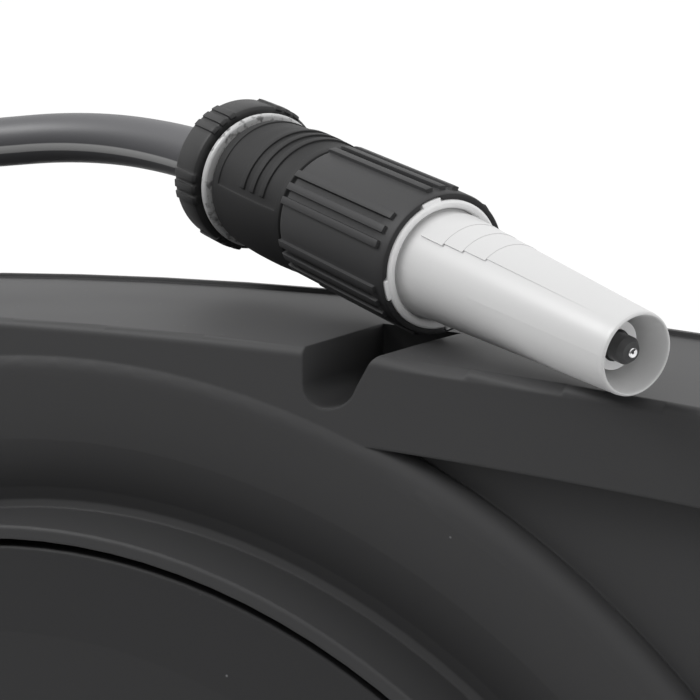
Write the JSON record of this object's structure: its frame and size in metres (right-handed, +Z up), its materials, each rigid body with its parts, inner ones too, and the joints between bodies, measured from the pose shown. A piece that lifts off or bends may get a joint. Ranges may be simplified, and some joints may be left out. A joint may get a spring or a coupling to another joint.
{
  "type": "garden hose reel",
  "caption": "Wall-hung swivelling automatic hose reel: round-fronted case, sprung drum, roller outlet, and an adjustable spray nozzle on the hose.",
  "frame": {"origin": "centre of the wall plate's back face, which is also the centre of its four bolt holes", "axes": "+X into the wall, +Z up, -Y towards the front cover; the hose leaves towards -X"},
  "size_m": [0.7488, 0.2179, 0.5336],
  "materials": {
    "case_plastic": "moulded",
    "cover_plastic": "moulded",
    "bracket_plastic": "moulded",
    "drum_plastic": "moulded",
    "steel": "plain",
    "brass": "plain",
    "hose_rubber": "plain",
    "seal_rubber": "plain",
    "nozzle_dark": "moulded",
    "nozzle_clear": "moulded",
    "nozzle_white": "moulded",
    "tip_metal": "plain"
  },
  "bodies": {
    "bracket": {"wall_plate": "bracket_plastic", "bracket_arm_upper": "bracket_plastic", "bracket_arm_lower": "bracket_plastic", "bracket_web": "bracket_plastic", "swivel_pin": "steel"},
    "drum": {"drum_core": "drum_plastic", "drum_hub": "drum_plastic", "drum_flange_front": "drum_plastic", "drum_flange_rear": "drum_plastic", "wound_hose": "hose_rubber", "ratchet_wheel": "drum_plastic", "spring_cup": "drum_plastic", "main_spring": "steel"},
    "pawl": {"pawl": "drum_plastic"},
    "roller_front": {"guide_roller_front": "drum_plastic"},
    "roller_rear": {"guide_roller_rear": "drum_plastic"},
    "roller_lower": {"guide_roller_lower": "drum_plastic"},
    "roller_upper": {"guide_roller_upper": "drum_plastic"},
    "nozzle_sleeve": {"nozzle_sleeve": "nozzle_dark", "nozzle_collar": "nozzle_white", "nozzle_barrel": "nozzle_white", "spray_seat": "nozzle_white"},
    "nozzle_stem": {"nozzle_stem": "nozzle_dark", "spray_tip": "tip_metal"},
    "case": {"axle": "brass", "axle_union": "drum_plastic", "case_screws": "steel", "feed_pipe": "hose_rubber", "front_centre_cap": "cover_plastic", "front_cover": "cover_plastic", "front_shell": "case_plastic", "guide_pin_front": "steel", "guide_pin_lower": "steel", "guide_pin_rear": "steel", "guide_pin_upper": "steel", "hose": "hose_rubber", "hose_lead": "hose_rubber", "hose_stop": "hose_rubber", "hose_washer": "seal_rubber", "inlet_socket": "brass", "nozzle_body": "nozzle_dark", "nozzle_grip_ring": "nozzle_clear", "nozzle_nut": "nozzle_dark", "outlet_frame": "case_plastic", "pawl_pin": "steel", "rear_centre_cap": "cover_plastic", "rear_cover": "cover_plastic", "rear_shell": "case_plastic", "sleeve_seal": "seal_rubber", "swivel_knuckle": "cover_plastic"}
  },
  "joints": [
    {"name": "case_swivel", "type": "hinge", "parent": "bracket", "child": "case", "pos_m": [-0.118, 0, 0], "axis": [0, 0, 1], "range_deg": [-85, 85]},
    {"name": "drum_spin", "type": "hinge", "parent": "case", "child": "drum", "pos_m": [-0.38, 0, 0], "axis": [0, 1, 0], "continuous": true},
    {"name": "pawl_swing", "type": "hinge", "parent": "case", "child": "pawl", "pos_m": [-0.332, 0, 0.036], "axis": [0, 1, 0], "range_deg": [-22, 0], "stiffness_Nm_per_rad": 0.02, "springref_deg": 11.46},
    {"name": "roller_front_spin", "type": "hinge", "parent": "case", "child": "roller_front", "pos_m": [-0.611, -0.014, 0.084], "axis": [0, 0, 1], "continuous": true},
    {"name": "roller_rear_spin", "type": "hinge", "parent": "case", "child": "roller_rear", "pos_m": [-0.611, 0.014, 0.084], "axis": [0, 0, 1], "continuous": true},
    {"name": "roller_lower_spin", "type": "hinge", "parent": "case", "child": "roller_lower", "pos_m": [-0.597, 0, 0.07], "axis": [0, 1, 0], "continuous": true},
    {"name": "roller_upper_spin", "type": "hinge", "parent": "case", "child": "roller_upper", "pos_m": [-0.597, 0, 0.098], "axis": [0, 1, 0], "continuous": true},
    {"name": "sleeve_twist", "type": "hinge", "parent": "case", "child": "nozzle_sleeve", "pos_m": [-0.2267, -0.1051, 0.2278], "axis": [0.8132, -0.5401, -0.217], "range_deg": [0, 270]},
    {"name": "stem_slide", "type": "slide", "parent": "case", "child": "nozzle_stem", "axis": [0.8132, -0.5401, -0.217], "range_m": [-0.004, 0]}
  ],
  "couplings": [
    {"joint": "stem_slide", "follows": "sleeve_twist", "m_per_rad": -0.00084883}
  ]
}
